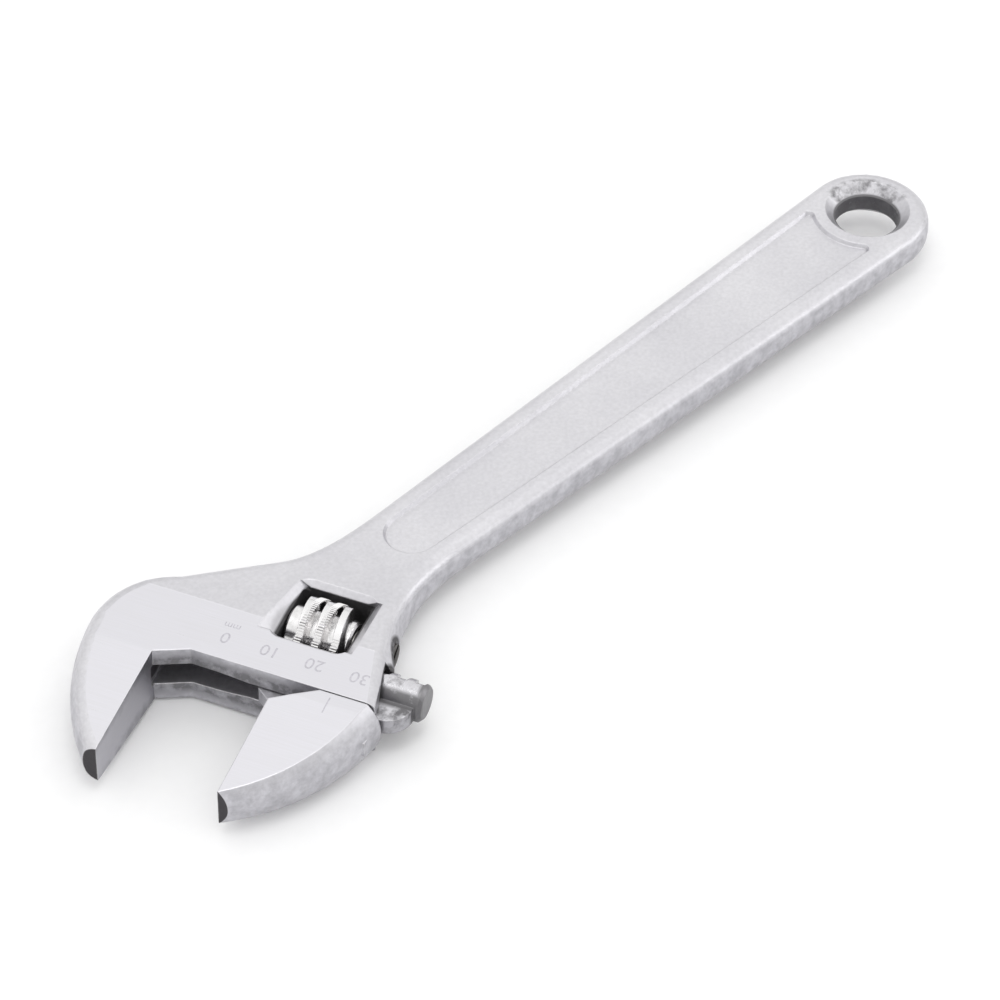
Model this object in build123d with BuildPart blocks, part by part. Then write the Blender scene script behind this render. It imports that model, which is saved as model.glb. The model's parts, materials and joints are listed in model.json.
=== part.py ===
"""Adjustable wrench, 250 mm class, with the jaws opened to 27 mm.

Frame: the origin is the centre of the hanging hole on the mid-plane, +X runs along the handle
towards the jaws, +Z is up. The head has its own directions, turned by HEAD_ANGLE in the XY plane:
"reach" points out of the jaws and "slide" is the way the moving jaw opens. Millimetres.
"""
from math import atan, cos, pi, radians, sin, sqrt

from build123d import *
import os

os.makedirs("parts", exist_ok=True)

# ---- Handle ----------------------------------------------------------------------------------
HANDLE_HALF_THICKNESS = 4.4
HANDLE_HALF_WIDTH = 14.5        # at the hanging hole
HANDLE_TAPER = 0.025            # half-width lost for each millimetre towards the head
SHOULDER_RADIUS = 3.0           # rounding of the forged top and bottom edges
HOLE_RADIUS = 7.4
HOLE_CHAMFER = 2.5

PANEL_HALF_WIDTH = 9.3          # sunk panel, at the hanging hole
PANEL_END_RADIUS = 13.3         # its end follows the hanging hole
PANEL_NECK_X = 150.0            # centre of its round end at the neck
PANEL_DEPTH = 0.9
PANEL_DRAFT = 35
PANEL_CORNER_RADIUS = 0.8

# ---- Head ------------------------------------------------------------------------------------
HEAD_ANGLE = 22.5
JAW_ROOT = (214.0, -11.6)       # inner corner of the fixed jaw
HEAD_HALF_THICKNESS = 7.2       # over the ground faces
BAND_BACK = -17.3               # reach where the ground face ends and the forged slope begins
SLOPE = 0.1                     # fall of the forged face towards the handle
SLOPE_BLEND_RADIUS = 220.0
CROWN_RADIUS = 10.0             # bulge of the forged sides, top to bottom
BLANK_HALF_THICKNESS = 10.1
THROAT = -3.4                   # reach of the long front edge between the jaws
FIXED_JAW_LENGTH = 27.0
JAW_TIP_HALF_THICKNESS = 4.75
RIGHT_END = 50.6                # slide position of the head's outer end at the throat
RIGHT_END_TILT = 39.4           # direction of that end in the XY plane
RIGHT_END_BACK = (175.0, 20.4)
ROD_FACE_BACK = (-16.8, 44.9)   # flat cut on the end that the rod comes out of
ROD_FACE_FRONT = (-3.4, 48.2)

# Outline of the head, as (reach, slide) from the fixed jaw's inner corner
NECK_SIDE = (-36.7, 12.2)
CHEEK_START = (-24.5, -4.6)
CHEEK_MIDDLE = (-17.0, -14.3)
CHEEK_END = (-6.4, -17.6)
JAW_OUTSIDE = (10.6, -13.8)
JAW_TIP_OUTSIDE = (31.0, 1.1)
BETWEEN_JAWS = (6.0, 20.0)
ROOT_END = 7.2                  # slide position where the jaw's root meets the throat
NECK_LEFT_X = 143.0             # where the straight handle sides end
NECK_RIGHT_X = 146.0

# ---- Moving jaw ------------------------------------------------------------------------------
OPENING = 27.3                  # between the jaw faces, as modelled
JAW_BACK = -3.1                 # reach of the edge that slides along the throat
MOVING_JAW_LENGTH = 28.0
ROOT_FACET = (2.8, 8.9)         # the bevel that clears the fixed jaw's root
JAW_ARC_BACK = (-14.0, 23.3)    # the curved outer side, as (reach, slide) from the jaw's face
JAW_ARC_MIDDLE = (12.5, 16.5)
JAW_ARC_TIP = (31.0, -2.7)
JAW_BLANK_DEPTH = 20.0
ROD_REACH = -13.9
ROD_RADIUS = 4.2
ROD_LEFT = -4.4                 # slide positions of the rod's ends, from the jaw's face
ROD_RIGHT = 28.1
ROD_CHAMFER = 0.8
BORE_CLEARANCE = 0.08
WEB_HALF_THICKNESS = 1.9
WEB_FILLET_RADIUS = 5.4
SLOT_HALF_THICKNESS = 2.2
SLOT_END = -5.2                 # slide position of the blind end of the slot and the bore
SLOT_FRONT = 1.0
NOSE_FRONT = -0.7               # slide positions of the slot's end under the fixed jaw
NOSE_BACK = -5.7
WEB_NOSE = ((0.8, 0.3), (-3.2, -5.0), (-10.0, -4.4))
WEB_HOLLOW_ROD = (-9.9, 26.6)   # ends of the hollow between the web and the rod
WEB_HOLLOW_PLATE = (-4.5, 21.2)
MOUTH_HALF_THICKNESS = 2.9      # the slot is flared beside the fixed jaw
MOUTH_FLAT = 9.0
MOUTH_END = 22.0

# ---- Worm ------------------------------------------------------------------------------------
WORM_REACH = -23.2
WORM_PITCH = 4.0
WORM_TURNS = 2.75
WORM_RADIUS = 7.8
WORM_HUB_RADIUS = 5.2
WORM_LEFT = 21.0                # slide positions
WORM_RIGHT = 35.4
THREAD_START = 22.8             # slide position of the crest where it begins, underneath
CREST_HALF_WIDTH = 0.75
THREAD_ROOT_HALF_WIDTH = 1.45
TOOTH_CLEARANCE = 0.25
RACK_DEPTH = 2.95
RACK_TIP_CUT = 0.55             # flat along the tips of the rack teeth, which clears the worm's hub
RACK_LEFT = -5.5                # slide position of the first tooth space, from the jaw's face
RACK_SPACES = 9
THREAD_SINK = 0.4               # the thread's root reaches this far into the hub

WINDOW_LEFT = 20.6
WINDOW_RIGHT = 36.1
WINDOW_FRONT = -14.7
WINDOW_BACK = -31.6
WINDOW_CORNER_RADIUS = 1.8
WINDOW_CHAMFER = 1.3
LEFT_FACET = (1.2, 3.4)         # width of the window's left bevel at its back and its front
RIGHT_FACET = (2.1, 2.2)        # and of the right bevel

PIN_RADIUS = 2.25
PIN_HEAD_RADIUS = 3.1
PIN_LEFT = 12.7
PIN_HEAD_LEFT = 40.4
PIN_RIGHT = 44.2
PIN_SLOT = 1.0
PIN_SLOT_DEPTH = 1.2
PIN_SLOT_ANGLE = 35
PIN_END_GAP = 0.2
SCREW_CLEARANCE = 0.04

SPRING_WIRE_RADIUS = 0.4
SPRING_RADIUS = 3.1
SPRING_TURNS = 3
SPRING_POCKET_RADIUS = 3.75
SPRING_POCKET_DEPTH = 3.0
SPRING_GAP = 0.1

FAR = 80.0                      # runs past the head on every side
HANDLE_FAR = 264.0              # runs past the handle's end, measured from the fixed jaw's corner
CUT_CLEARANCE = 10.0            # cutting shapes run this far past what they cut
EDGE_TOLERANCE = 0.05
SQUARE_ON = 0.99                # cosine above which two directions count as the same

REACH = Vector(cos(radians(HEAD_ANGLE)), sin(radians(HEAD_ANGLE)), 0)
SLIDE = Vector(-sin(radians(HEAD_ANGLE)), cos(radians(HEAD_ANGLE)), 0)
HEAD_PLANE = Plane(origin=(*JAW_ROOT, 0), x_dir=REACH, z_dir=(0, 0, 1))
SIDE_PLANE = Plane(origin=(*JAW_ROOT, 0), x_dir=REACH, z_dir=-SLIDE)
CHEEK_DIRECTION = REACH * (CHEEK_START[0] - NECK_SIDE[0]) + SLIDE * (CHEEK_START[1] - NECK_SIDE[1])


def head_point(reach, slide):
    """A point of the head's mid-plane."""
    return tuple(HEAD_PLANE.from_local_coords((reach, slide, 0)))[:2]


def across(reach, slide):
    """The plane square to the slide direction, with its origin at that point of the head."""
    return Plane(origin=(*head_point(reach, slide), 0), x_dir=REACH, z_dir=SLIDE)


def handle_half_width(x):
    return HANDLE_HALF_WIDTH - HANDLE_TAPER * x


def panel_half_width(x):
    return PANEL_HALF_WIDTH - HANDLE_TAPER * x


def ground_faces_tool():
    """Everything above the ground top face, which is flat and then falls to the jaw tips."""
    with BuildPart() as tool:
        with BuildSketch(SIDE_PLANE):
            Polygon(
                (BAND_BACK - CUT_CLEARANCE, HEAD_HALF_THICKNESS),
                (0, HEAD_HALF_THICKNESS),
                (MOVING_JAW_LENGTH, JAW_TIP_HALF_THICKNESS),
                (MOVING_JAW_LENGTH + CUT_CLEARANCE, JAW_TIP_HALF_THICKNESS),
                (MOVING_JAW_LENGTH + CUT_CLEARANCE, BLANK_HALF_THICKNESS + CUT_CLEARANCE),
                (BAND_BACK - CUT_CLEARANCE, BLANK_HALF_THICKNESS + CUT_CLEARANCE),
                align=None,
            )
        extrude(amount=FAR, both=True)
    return tool.part


def forged_slope_tool():
    """Everything above the forged face: level on the handle, then rising towards the jaws."""
    slope_start = BAND_BACK - (HEAD_HALF_THICKNESS - HANDLE_HALF_THICKNESS) / SLOPE
    slope_end = HEAD_HALF_THICKNESS + SLOPE * (FAR - BAND_BACK)
    handle_end = (-HANDLE_FAR, HANDLE_HALF_THICKNESS)
    with BuildPart() as tool:
        with BuildSketch(SIDE_PLANE):
            with BuildLine():
                FilletPolyline(
                    handle_end,
                    (slope_start, HANDLE_HALF_THICKNESS),
                    (FAR, slope_end),
                    radius=SLOPE_BLEND_RADIUS,
                )
                Polyline((FAR, slope_end), (FAR, FAR), (handle_end[0], FAR), handle_end)
            make_face()
        extrude(amount=HANDLE_FAR, both=True)
    return tool.part


def window_facet_tool(wall, side, widths):
    """A sloping bevel on one wall of the window, wider at one end than at the other."""
    with BuildPart() as tool:
        for reach, width in zip((WINDOW_BACK, WINDOW_FRONT), widths):
            rim = HEAD_HALF_THICKNESS - SLOPE * max(0, BAND_BACK - reach)
            plane = Plane(origin=(*head_point(reach, wall), 0), x_dir=side * SLIDE, z_dir=REACH)
            with BuildSketch(plane):
                Polygon(
                    (-width, side * (rim + width)),
                    (-width, side * (rim - 2 * width)),
                    (2 * width, side * (rim + width)),
                    align=None,
                )
        loft(ruled=True)
    return tool.part


# ---- Body: handle, head and fixed jaw, one forging ---------------------------------------------
neck_left = (NECK_LEFT_X, -handle_half_width(NECK_LEFT_X))
neck_right = (NECK_RIGHT_X, handle_half_width(NECK_RIGHT_X))
right_end_direction = Vector(cos(radians(RIGHT_END_TILT)), sin(radians(RIGHT_END_TILT)))
handle_end_left = (0, -HANDLE_HALF_WIDTH)
handle_end_right = (0, HANDLE_HALF_WIDTH)


def is_rim(edge):
    """True on the blank's upper rim, apart from the side that the jaws leave."""
    middle = HEAD_PLANE.to_local_coords(edge @ 0.5)
    in_throat = middle.X > THROAT and middle.Y > 0
    return middle.Z > BLANK_HALF_THICKNESS - EDGE_TOLERANCE and not in_throat


def is_shoulder(edge):
    """True where the forged face, behind the ground band, meets the crowned sides."""
    middle = HEAD_PLANE.to_local_coords(edge @ 0.5)
    lowest = min((edge @ 0).Z, (edge @ 1).Z)
    crosses_handle = edge.geom_type == GeomType.LINE and abs((edge % 0.5).dot(SLIDE)) > SQUARE_ON
    on_forged_face = lowest > HANDLE_HALF_THICKNESS - EDGE_TOLERANCE
    return on_forged_face and middle.X < BAND_BACK - EDGE_TOLERANCE and not crosses_handle


def is_window_edge(edge):
    """True around the window's opening in the forged face."""
    middle = HEAD_PLANE.to_local_coords(edge @ 0.5)
    beside_reach = WINDOW_BACK - EDGE_TOLERANCE < middle.X < WINDOW_FRONT + EDGE_TOLERANCE
    beside_slide = WINDOW_LEFT - EDGE_TOLERANCE < middle.Y < WINDOW_RIGHT + EDGE_TOLERANCE
    lowest = min((edge @ 0).Z, (edge @ 1).Z)
    return beside_reach and beside_slide and lowest > HANDLE_HALF_THICKNESS


with BuildPart() as body:
    # Upper half of the forging, with ground faces on the head
    with BuildSketch(Plane.XY):
        with BuildLine():
            Line(handle_end_left, neck_left)
            Spline(
                neck_left,
                head_point(*NECK_SIDE),
                tangents=[(1, HANDLE_TAPER), CHEEK_DIRECTION],
            )
            Line(head_point(*NECK_SIDE), head_point(*CHEEK_START))
            ThreePointArc(
                head_point(*CHEEK_START), head_point(*CHEEK_MIDDLE), head_point(*CHEEK_END)
            )
            ThreePointArc(
                head_point(*CHEEK_END), head_point(*JAW_OUTSIDE), head_point(*JAW_TIP_OUTSIDE)
            )
            Polyline(
                head_point(*JAW_TIP_OUTSIDE),
                head_point(*BETWEEN_JAWS),
                head_point(THROAT, RIGHT_END),
                RIGHT_END_BACK,
            )
            Spline(
                RIGHT_END_BACK,
                neck_right,
                tangents=[-right_end_direction, (-1, HANDLE_TAPER)],
            )
            Line(neck_right, handle_end_right)
            ThreePointArc(handle_end_right, (-HANDLE_HALF_WIDTH, 0), handle_end_left)
        make_face()
    extrude(amount=BLANK_HALF_THICKNESS)
    fillet(body.edges().filter_by(is_rim), radius=CROWN_RADIUS)
    add(forged_slope_tool(), mode=Mode.SUBTRACT)
    add(ground_faces_tool(), mode=Mode.SUBTRACT)
    fillet(body.edges().filter_by(is_shoulder), radius=SHOULDER_RADIUS)

    # Throat, jaw face and square-ended tip
    with BuildSketch(HEAD_PLANE):
        Polygon(
            (FIXED_JAW_LENGTH, -FAR),
            (FIXED_JAW_LENGTH, 0),
            (0, 0),
            (THROAT, ROOT_END),
            (THROAT, FAR),
            (FAR, FAR),
            (FAR, -FAR),
            align=None,
        )
    extrude(amount=FAR, mode=Mode.SUBTRACT)

    # Flat end face that the rod comes out of
    with BuildSketch(HEAD_PLANE):
        Polygon(
            ROD_FACE_FRONT,
            ROD_FACE_BACK,
            (ROD_FACE_BACK[0], FAR),
            (ROD_FACE_FRONT[0], FAR),
            align=None,
        )
    extrude(amount=FAR, mode=Mode.SUBTRACT)

    # Window for the worm
    with BuildSketch(HEAD_PLANE):
        with Locations(
            ((WINDOW_FRONT + WINDOW_BACK) / 2, (WINDOW_LEFT + WINDOW_RIGHT) / 2),
        ):
            RectangleRounded(
                WINDOW_FRONT - WINDOW_BACK, WINDOW_RIGHT - WINDOW_LEFT, WINDOW_CORNER_RADIUS
            )
    extrude(amount=FAR, mode=Mode.SUBTRACT)
    chamfer(body.edges().filter_by(is_window_edge), length=WINDOW_CHAMFER)
    add(window_facet_tool(WINDOW_LEFT, -1, LEFT_FACET), mode=Mode.SUBTRACT)
    add(window_facet_tool(WINDOW_RIGHT, 1, RIGHT_FACET), mode=Mode.SUBTRACT)

    # Hanging hole
    with BuildSketch(Plane.XY):
        Circle(HOLE_RADIUS)
    extrude(amount=FAR, mode=Mode.SUBTRACT)
    hole_rims = body.edges().filter_by(GeomType.CIRCLE).filter_by(
        lambda edge: abs(edge.radius - HOLE_RADIUS) < EDGE_TOLERANCE
    )
    chamfer(hole_rims.group_by(Axis.Z)[-1], length=HOLE_CHAMFER)

    # Sunk panel along the handle
    panel_end_x = sqrt(PANEL_END_RADIUS**2 - panel_half_width(0) ** 2)
    panel_end_y = panel_half_width(panel_end_x)
    panel_neck_y = panel_half_width(PANEL_NECK_X)
    with BuildSketch(Plane.XY.offset(HANDLE_HALF_THICKNESS - PANEL_DEPTH)) as panel:
        with BuildLine():
            near_hole = ThreePointArc(
                (panel_end_x, -panel_end_y), (PANEL_END_RADIUS, 0), (panel_end_x, panel_end_y)
            )
            at_neck = ThreePointArc(
                (PANEL_NECK_X, -panel_neck_y),
                (PANEL_NECK_X + panel_neck_y, 0),
                (PANEL_NECK_X, panel_neck_y),
            )
            Line(near_hole @ 0, at_neck @ 0)
            Line(near_hole @ 1, at_neck @ 1)
        make_face()
        fillet(panel.vertices().group_by(Axis.X)[0], radius=PANEL_CORNER_RADIUS)
    extrude(amount=2 * PANEL_DEPTH, taper=-PANEL_DRAFT, mode=Mode.SUBTRACT)

    # The lower half is the same
    mirror(about=Plane.XY)

    # Bore for the rod, and the slot for the web that joins it to the moving jaw
    with BuildSketch(across(ROD_REACH, SLOT_END)):
        Circle(ROD_RADIUS + BORE_CLEARANCE)
    extrude(amount=FAR, mode=Mode.SUBTRACT)
    with BuildSketch(HEAD_PLANE.offset(-SLOT_HALF_THICKNESS)):
        Polygon(
            (SLOT_FRONT, NOSE_FRONT),
            (THROAT, NOSE_BACK),
            (ROD_REACH, SLOT_END),
            (ROD_REACH, FAR),
            (SLOT_FRONT, FAR),
            align=None,
        )
    extrude(amount=2 * SLOT_HALF_THICKNESS, mode=Mode.SUBTRACT)
    mouth_plane = Plane(
        origin=(*head_point(ROD_REACH + ROD_RADIUS, 0), 0), x_dir=SLIDE, z_dir=REACH
    )
    with BuildSketch(mouth_plane):
        for side in (1, -1):
            with BuildLine():
                straight = Line((NOSE_FRONT, 0), (NOSE_FRONT, side * MOUTH_HALF_THICKNESS))
                flat = Line(straight @ 1, (MOUTH_FLAT, side * MOUTH_HALF_THICKNESS))
                run_out = TangentArc(flat @ 1, (MOUTH_END, side * WEB_HALF_THICKNESS), tangent=(1, 0))
                Polyline(run_out @ 1, (MOUTH_END, 0), straight @ 0)
            make_face()
    extrude(amount=SLOT_FRONT - ROD_REACH - ROD_RADIUS, mode=Mode.SUBTRACT)

    # Stepped hole for the worm's pin
    with BuildSketch(across(WORM_REACH, PIN_LEFT - PIN_END_GAP)):
        Circle(PIN_RADIUS + SCREW_CLEARANCE)
    extrude(amount=FAR, mode=Mode.SUBTRACT)
    with BuildSketch(across(WORM_REACH, PIN_HEAD_LEFT - PIN_END_GAP)):
        Circle(PIN_HEAD_RADIUS + SCREW_CLEARANCE)
    extrude(amount=FAR, mode=Mode.SUBTRACT)

body.part.label = "body"
export_step(body.part, "parts/body.step")

# ---- Moving jaw: plate, web and rack rod in one piece --------------------------------------------
jaw_plane = Plane(origin=(*head_point(0, OPENING), 0), x_dir=REACH, z_dir=(0, 0, 1))


def is_jaw_outside(edge):
    """True on the upper rim of the jaw's curved outer side."""
    on_rim = (edge @ 0.5).Z > BLANK_HALF_THICKNESS - EDGE_TOLERANCE
    return on_rim and edge.geom_type == GeomType.CIRCLE


with BuildPart() as moving_jaw:
    # Upper half of the plate
    with BuildSketch(jaw_plane):
        with BuildLine():
            outside = ThreePointArc(JAW_ARC_BACK, JAW_ARC_MIDDLE, JAW_ARC_TIP)
            Polyline(
                outside @ 1,
                (JAW_ARC_TIP[0], -JAW_BLANK_DEPTH),
                (JAW_ARC_BACK[0], -JAW_BLANK_DEPTH),
                outside @ 0,
            )
        make_face()
    extrude(amount=BLANK_HALF_THICKNESS)
    fillet(moving_jaw.edges().filter_by(is_jaw_outside), radius=CROWN_RADIUS)
    add(ground_faces_tool(), mode=Mode.SUBTRACT)
    with BuildSketch(jaw_plane):
        Polygon(
            (MOVING_JAW_LENGTH, 0),
            (ROOT_FACET[0], 0),
            (JAW_BACK, ROOT_FACET[1]),
            (JAW_BACK, FAR),
            (MOVING_JAW_LENGTH, FAR),
            align=None,
        )
    extrude(amount=FAR, mode=Mode.INTERSECT)

    # The lower half is the same
    mirror(about=Plane.XY)

    # Web, with a nose that fills the slot beside the fixed jaw
    with BuildSketch(jaw_plane.offset(-WEB_HALF_THICKNESS)):
        with BuildLine():
            hollow = RadiusArc(WEB_HOLLOW_ROD, WEB_HOLLOW_PLATE, WEB_FILLET_RADIUS)
            Polyline(
                hollow @ 1,
                (ROOT_FACET[0], WEB_HOLLOW_PLATE[1]),
                (ROOT_FACET[0], ROOT_FACET[1]),
                *WEB_NOSE,
                (ROD_REACH, ROD_LEFT),
                (ROD_REACH, WEB_HOLLOW_ROD[1]),
                hollow @ 0,
            )
        make_face()
    extrude(amount=2 * WEB_HALF_THICKNESS)

    # Rod
    with BuildSketch(across(ROD_REACH, OPENING + ROD_LEFT)):
        Circle(ROD_RADIUS)
    extrude(amount=ROD_RIGHT - ROD_LEFT)
    rod_end = moving_jaw.faces().filter_by(GeomType.PLANE).sort_by(Axis((0, 0, 0), tuple(SLIDE)))[-1]
    chamfer(rod_end.edges(), length=ROD_CHAMFER)

    # Rack teeth: slots across the rod's back, leaning with the worm's thread
    tip_plane = Plane(origin=(*head_point(ROD_REACH - ROD_RADIUS, 0), 0), x_dir=SLIDE, z_dir=REACH)
    with BuildSketch(tip_plane):
        with Locations((OPENING + (ROD_LEFT + ROD_RIGHT) / 2, 0)):
            Rectangle(ROD_RIGHT - ROD_LEFT, 2 * ROD_RADIUS)
    extrude(amount=RACK_TIP_CUT, mode=Mode.SUBTRACT)
    rack_top = ROD_REACH - ROD_RADIUS - TOOTH_CLEARANCE
    rack_bottom = ROD_REACH - ROD_RADIUS + RACK_DEPTH
    tooth_flanks = (
        (rack_bottom, -CREST_HALF_WIDTH - TOOTH_CLEARANCE),
        (rack_bottom, CREST_HALF_WIDTH + TOOTH_CLEARANCE),
        (rack_top, THREAD_ROOT_HALF_WIDTH + TOOTH_CLEARANCE),
        (rack_top, -THREAD_ROOT_HALF_WIDTH - TOOTH_CLEARANCE),
    )
    lead_angle = atan(WORM_PITCH / (2 * pi * (WORM_RADIUS - RACK_DEPTH / 2)))
    slot_direction = Vector(0, 0, 1) * cos(lead_angle) - SLIDE * sin(lead_angle)
    for index in range(RACK_SPACES):
        position = OPENING + RACK_LEFT + index * WORM_PITCH
        slot_plane = Plane(
            origin=(*head_point(0, position), 0), x_dir=REACH, z_dir=slot_direction
        )
        with BuildSketch(slot_plane):
            Polygon(*tooth_flanks, align=None)
        extrude(amount=2 * ROD_RADIUS, both=True, mode=Mode.SUBTRACT)

moving_jaw.part.label = "moving_jaw"
export_step(moving_jaw.part, "parts/moving_jaw.step")

# ---- Worm: right-handed, single start ------------------------------------------------------------
underneath = Plane(
    origin=(*head_point(WORM_REACH, THREAD_START), 0), x_dir=(0, 0, -1), z_dir=SLIDE
)
thread_path = underneath * Helix(
    pitch=WORM_PITCH, height=WORM_PITCH * WORM_TURNS, radius=WORM_HUB_RADIUS
)

with BuildPart() as worm:
    with BuildSketch(across(WORM_REACH, WORM_LEFT)):
        Circle(WORM_HUB_RADIUS)
    extrude(amount=WORM_RIGHT - WORM_LEFT)
    with BuildSketch(Plane(origin=thread_path @ 0, x_dir=(0, 0, -1), z_dir=thread_path % 0)):
        Polygon(
            (-THREAD_SINK, -THREAD_ROOT_HALF_WIDTH),
            (-THREAD_SINK, THREAD_ROOT_HALF_WIDTH),
            (WORM_RADIUS - WORM_HUB_RADIUS, CREST_HALF_WIDTH),
            (WORM_RADIUS - WORM_HUB_RADIUS, -CREST_HALF_WIDTH),
            align=None,
        )
    sweep(path=thread_path, is_frenet=True)
    with BuildSketch(across(WORM_REACH, WORM_LEFT)):
        Circle(PIN_RADIUS + BORE_CLEARANCE)
    extrude(amount=WORM_RIGHT - WORM_LEFT, mode=Mode.SUBTRACT)
    with BuildSketch(across(WORM_REACH, WORM_RIGHT - SPRING_POCKET_DEPTH)):
        Circle(SPRING_POCKET_RADIUS)
    extrude(amount=SPRING_POCKET_DEPTH, mode=Mode.SUBTRACT)

worm.part.label = "worm"
export_step(worm.part, "parts/worm.step")

# ---- Pin that carries the worm, with a slotted head ----------------------------------------------
with BuildPart() as worm_pin:
    with BuildSketch(across(WORM_REACH, PIN_LEFT)):
        Circle(PIN_RADIUS)
    extrude(amount=PIN_RIGHT - PIN_LEFT)
    with BuildSketch(across(WORM_REACH, PIN_HEAD_LEFT)):
        Circle(PIN_HEAD_RADIUS)
    extrude(amount=PIN_RIGHT - PIN_HEAD_LEFT)
    with BuildSketch(across(WORM_REACH, PIN_RIGHT - PIN_SLOT_DEPTH)):
        Rectangle(2 * PIN_HEAD_RADIUS, PIN_SLOT, rotation=PIN_SLOT_ANGLE)
    extrude(amount=PIN_SLOT_DEPTH, mode=Mode.SUBTRACT)

worm_pin.part.label = "worm_pin"
export_step(worm_pin.part, "parts/worm_pin.step")

# ---- Spring that keeps the worm from rattling ------------------------------------------------------
spring_left = WORM_RIGHT - SPRING_POCKET_DEPTH + SPRING_GAP + SPRING_WIRE_RADIUS
spring_length = WINDOW_RIGHT - SPRING_GAP - SPRING_WIRE_RADIUS - spring_left
spring_path = across(WORM_REACH, spring_left) * Helix(
    pitch=spring_length / SPRING_TURNS, height=spring_length, radius=SPRING_RADIUS
)

with BuildPart() as worm_spring:
    with BuildSketch(Plane(origin=spring_path @ 0, z_dir=spring_path % 0)):
        Circle(SPRING_WIRE_RADIUS)
    sweep(path=spring_path, is_frenet=True)

worm_spring.part.label = "worm_spring"
export_step(worm_spring.part, "parts/worm_spring.step")
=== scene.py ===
import json
from math import cos, pi, radians, sin

import bmesh
import bpy
from mathutils import Matrix, Vector


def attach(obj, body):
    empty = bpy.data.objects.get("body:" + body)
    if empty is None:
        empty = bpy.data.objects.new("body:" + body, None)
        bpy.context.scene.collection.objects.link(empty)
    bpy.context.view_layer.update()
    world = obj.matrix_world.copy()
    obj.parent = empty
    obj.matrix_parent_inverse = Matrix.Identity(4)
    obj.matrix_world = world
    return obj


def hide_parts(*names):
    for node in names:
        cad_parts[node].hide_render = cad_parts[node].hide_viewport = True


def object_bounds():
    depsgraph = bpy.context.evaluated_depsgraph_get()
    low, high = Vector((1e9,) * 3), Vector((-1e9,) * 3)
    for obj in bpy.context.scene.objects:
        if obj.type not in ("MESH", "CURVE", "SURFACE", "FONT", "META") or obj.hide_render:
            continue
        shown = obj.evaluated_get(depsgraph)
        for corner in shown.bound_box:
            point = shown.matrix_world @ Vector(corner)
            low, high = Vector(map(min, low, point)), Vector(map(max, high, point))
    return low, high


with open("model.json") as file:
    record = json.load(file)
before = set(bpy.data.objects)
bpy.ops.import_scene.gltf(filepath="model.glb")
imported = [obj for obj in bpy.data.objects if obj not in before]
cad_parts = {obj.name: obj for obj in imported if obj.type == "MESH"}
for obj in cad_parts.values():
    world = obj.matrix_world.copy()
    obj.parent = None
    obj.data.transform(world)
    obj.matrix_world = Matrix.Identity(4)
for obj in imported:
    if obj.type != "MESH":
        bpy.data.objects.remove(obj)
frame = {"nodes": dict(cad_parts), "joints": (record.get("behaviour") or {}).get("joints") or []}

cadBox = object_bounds()
mm = 0.001
nodes = frame["nodes"]
joints = {joint["name"]: joint for joint in frame["joints"]}

# the head's own directions: slide is the way the moving jaw opens, reach points out of the jaws
slideAxis = Vector(joints["jaw_slide"]["axis"]).normalized()
reachAxis = Vector((slideAxis.y, -slideAxis.x, 0))
up = Vector((0, 0, 1))
jawRoot = Vector((214.0, -11.6, 0)) * mm


def headPoint(reach, slide, height=0.0):
    # millimetres from the fixed jaw's inner corner to a place in the frame
    return jawRoot + (reachAxis * reach + slideAxis * slide + up * height) * mm


def srgb(code):
    # sRGB hex to linear RGBA
    channels = [int(code[i:i + 2], 16) / 255 for i in (1, 3, 5)]
    return [c / 12.92 if c <= 0.04045 else ((c + 0.055) / 1.055) ** 2.4 for c in channels] + [1.0]


def addNode(tree, kind, inputs=None, **settings):
    # a node with its settings, input values and links; a node given as an input lends its output in use
    node = tree.nodes.new(kind)
    for name, value in settings.items():
        setattr(node, name, value)
    for key, value in (inputs or {}).items():
        if isinstance(value, bpy.types.Node):
            value = next(socket for socket in value.outputs if socket.enabled)
        if isinstance(value, bpy.types.NodeSocket):
            tree.links.new(value, node.inputs[key])
        else:
            node.inputs[key].default_value = value
    return node


def finishMaterial(name, build, **values):
    material = bpy.data.materials.new(name)
    material.use_nodes = True
    tree = material.node_tree
    tree.nodes.clear()
    shader = build(tree, **values)
    addNode(tree, "ShaderNodeOutputMaterial", {"Surface": shader.outputs[0]})
    return material


def setMaterial(piece, material):
    piece.data.materials.clear()
    piece.data.materials.append(material)


def linkPiece(name, data):
    piece = bpy.data.objects.new(name, data)
    bpy.context.scene.collection.objects.link(piece)
    return piece


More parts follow.
